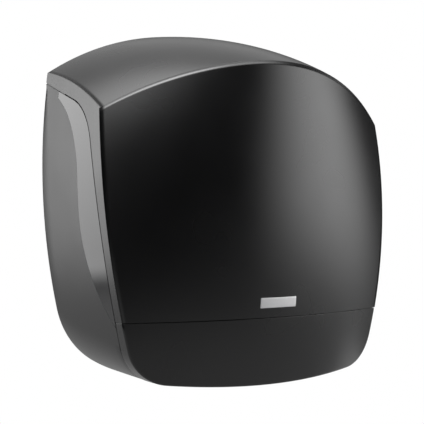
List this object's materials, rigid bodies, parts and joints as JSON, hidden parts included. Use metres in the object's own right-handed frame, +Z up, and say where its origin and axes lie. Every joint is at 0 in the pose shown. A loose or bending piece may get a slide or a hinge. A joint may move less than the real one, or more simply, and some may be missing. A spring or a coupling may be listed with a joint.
{
  "type": "toilet paper dispenser",
  "caption": "Wall-mounted jumbo toilet roll dispenser: black moulded housing with smoked side windows, drop-down front cover, roll hub, tear bars and key lock.",
  "frame": {"origin": "centre of the four wall holes, on the wall plane at mid-height", "axes": "+Z up, +Y into the wall, the front faces -Y, +X to the right seen from the front"},
  "size_m": [0.2971, 0.152, 0.31],
  "materials": {
    "cover_abs": "satin moulded",
    "housing_abs": "satin moulded",
    "smoked_window": "polished, smoked",
    "hub_plastic": "fine moulded",
    "bush_nylon": "natural",
    "zinc_steel": "zinc plated",
    "turned_steel": "turned",
    "spring_steel": "oiled",
    "screw_steel": "zinc plated",
    "blade_steel": "stamped",
    "lock_zinc": "plated",
    "badge_metal": "satin"
  },
  "bodies": {
    "housing": {"rear_housing": "housing_abs", "window_left": "smoked_window", "window_right": "smoked_window", "spindle_plate": "zinc_steel", "spindle_axle": "turned_steel", "spindle_screws": "screw_steel", "drag_washer": "spring_steel", "hub_clip": "spring_steel", "tear_bar_left": "blade_steel", "tear_bar_right": "blade_steel", "tear_bar_screws": "screw_steel", "hinge_pin_left": "turned_steel", "hinge_pin_right": "turned_steel", "hinge_clips": "spring_steel", "lock_sleeve": "lock_zinc", "lock_nut": "zinc_steel"},
    "hub": {"roll_hub": "hub_plastic", "hub_bush_rear": "bush_nylon", "hub_bush_front": "bush_nylon"},
    "lock": {"lock_barrel": "lock_zinc", "lock_cam": "zinc_steel", "cam_screw": "screw_steel"},
    "door": {"front_cover": "cover_abs", "lower_front_panel": "cover_abs", "panel_screws": "screw_steel", "badge_plate": "badge_metal", "lock_keeper": "zinc_steel", "keeper_screws": "screw_steel"}
  },
  "joints": [
    {"name": "cover_hinge", "type": "hinge", "parent": "housing", "child": "door", "pos_m": [0, -0.066, -0.14], "axis": [1, 0, 0], "range_deg": [0, 95]},
    {"name": "hub_spin", "type": "hinge", "parent": "housing", "child": "hub", "pos_m": [0, -0.055, 0.008], "axis": [0, -1, 0], "continuous": true},
    {"name": "lock_turn", "type": "hinge", "parent": "housing", "child": "lock", "pos_m": [0.138, -0.038, 0.058], "axis": [-1, 0, 0], "range_deg": [0, 90]}
  ]
}
